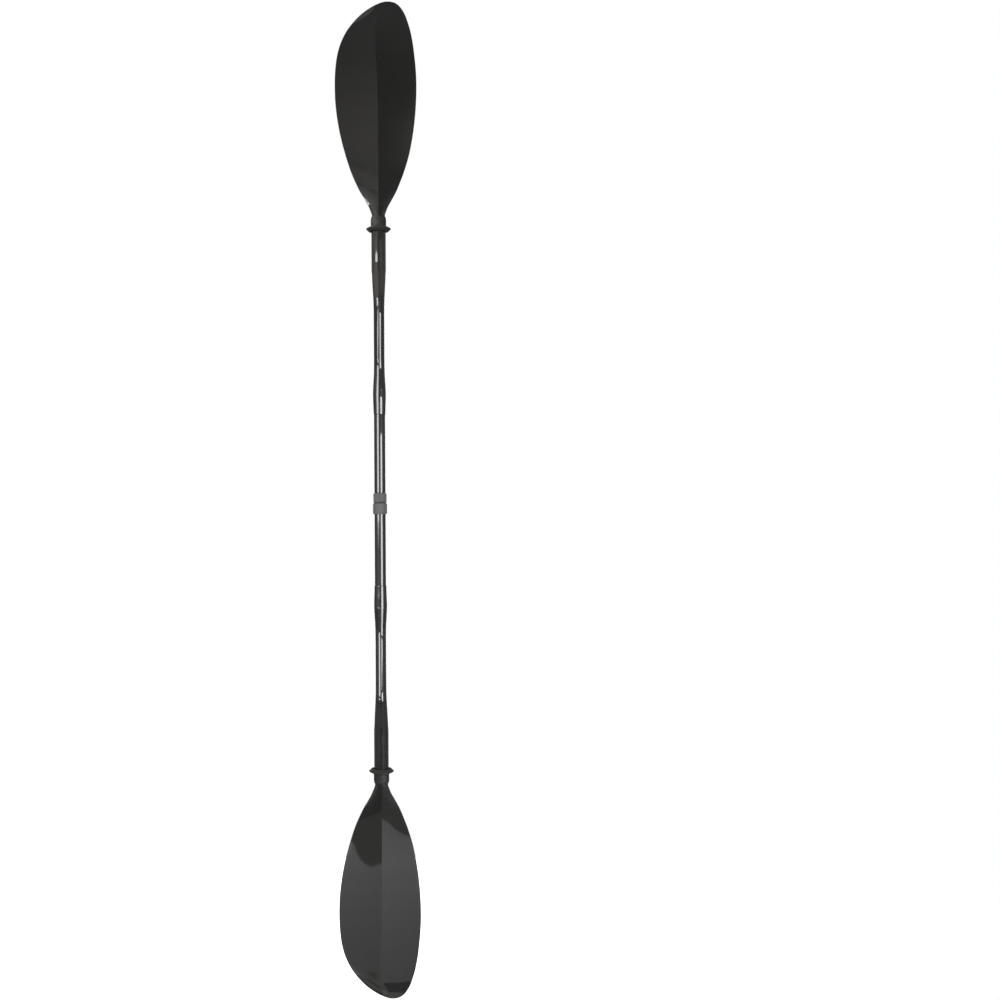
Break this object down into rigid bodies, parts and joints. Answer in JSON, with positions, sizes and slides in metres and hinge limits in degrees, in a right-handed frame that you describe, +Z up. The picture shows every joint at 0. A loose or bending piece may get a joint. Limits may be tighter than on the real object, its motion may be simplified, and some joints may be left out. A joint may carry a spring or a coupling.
{
  "type": "kayak paddle",
  "caption": "Two-piece touring kayak paddle with double-bend carbon shaft, oval hand grips, asymmetric ribbed blades, drip rings and a lever-locked ferrule for length and feather.",
  "frame": {"origin": "on the axis of the two straight centre tubes, half way between the two blade tips, with the ferrule fully closed", "axes": "+Z up the shaft towards the upper blade's tip; +Y towards the back of the blades, the side the clamp's lever is on; -Y towards the power faces; +X across the blades"},
  "size_m": [0.181, 0.0698, 2.2],
  "materials": {
    "carbon_skin": "gloss",
    "carbon_tube": "gloss",
    "carbon_inner": "satin",
    "core_foam": "matte",
    "edge_resin": "satin",
    "black_rubber": "matte",
    "grey_plastic": "satin",
    "white_nylon": "satin",
    "pin_steel": "polished"
  },
  "bodies": {
    "lower_half": {"clamp_collar": "grey_plastic", "guide_bush": "white_nylon", "lever_pin": "pin_steel", "lower_centre_tube": "carbon_tube", "lower_bulkhead": "core_foam", "lower_crank_shaft": "carbon_tube", "lower_drip_ring": "black_rubber", "lower_spigot": "carbon_inner", "lower_power_face": "carbon_skin", "lower_back_face": "carbon_skin", "lower_blade_core": "core_foam", "lower_edge_band": "edge_resin"},
    "feather_ring": {"index_ring": "grey_plastic", "ring_seal": "black_rubber"},
    "upper_half": {"ferrule_tube": "carbon_inner", "ferrule_plug": "black_rubber", "upper_centre_tube": "carbon_tube", "upper_bulkhead": "core_foam", "upper_crank_shaft": "carbon_tube", "upper_drip_ring": "black_rubber", "upper_spigot": "carbon_inner", "upper_power_face": "carbon_skin", "upper_back_face": "carbon_skin", "upper_blade_core": "core_foam", "upper_edge_band": "edge_resin"},
    "cam_lever": {"cam_lever": "grey_plastic"},
    "cam_pad": {"cam_pad": "black_rubber"}
  },
  "joints": [
    {"name": "feather_turn", "type": "hinge", "parent": "lower_half", "child": "feather_ring", "pos_m": [0, 0, 0], "axis": [0, 0, 1], "continuous": true},
    {"name": "length_slide", "type": "slide", "parent": "feather_ring", "child": "upper_half", "axis": [0, 0, 1], "range_m": [0, 0.19]},
    {"name": "lever_open", "type": "hinge", "parent": "lower_half", "child": "cam_lever", "pos_m": [0, 0.017, -0.018], "axis": [-1, 0, 0], "range_deg": [0, 115]},
    {"name": "pad_release", "type": "slide", "parent": "lower_half", "child": "cam_pad", "axis": [0, 1, 0], "range_m": [0, 0.0006]}
  ],
  "couplings": [
    {"joint": "pad_release", "follows": "lever_open", "m_per_rad": 0.000249}
  ]
}
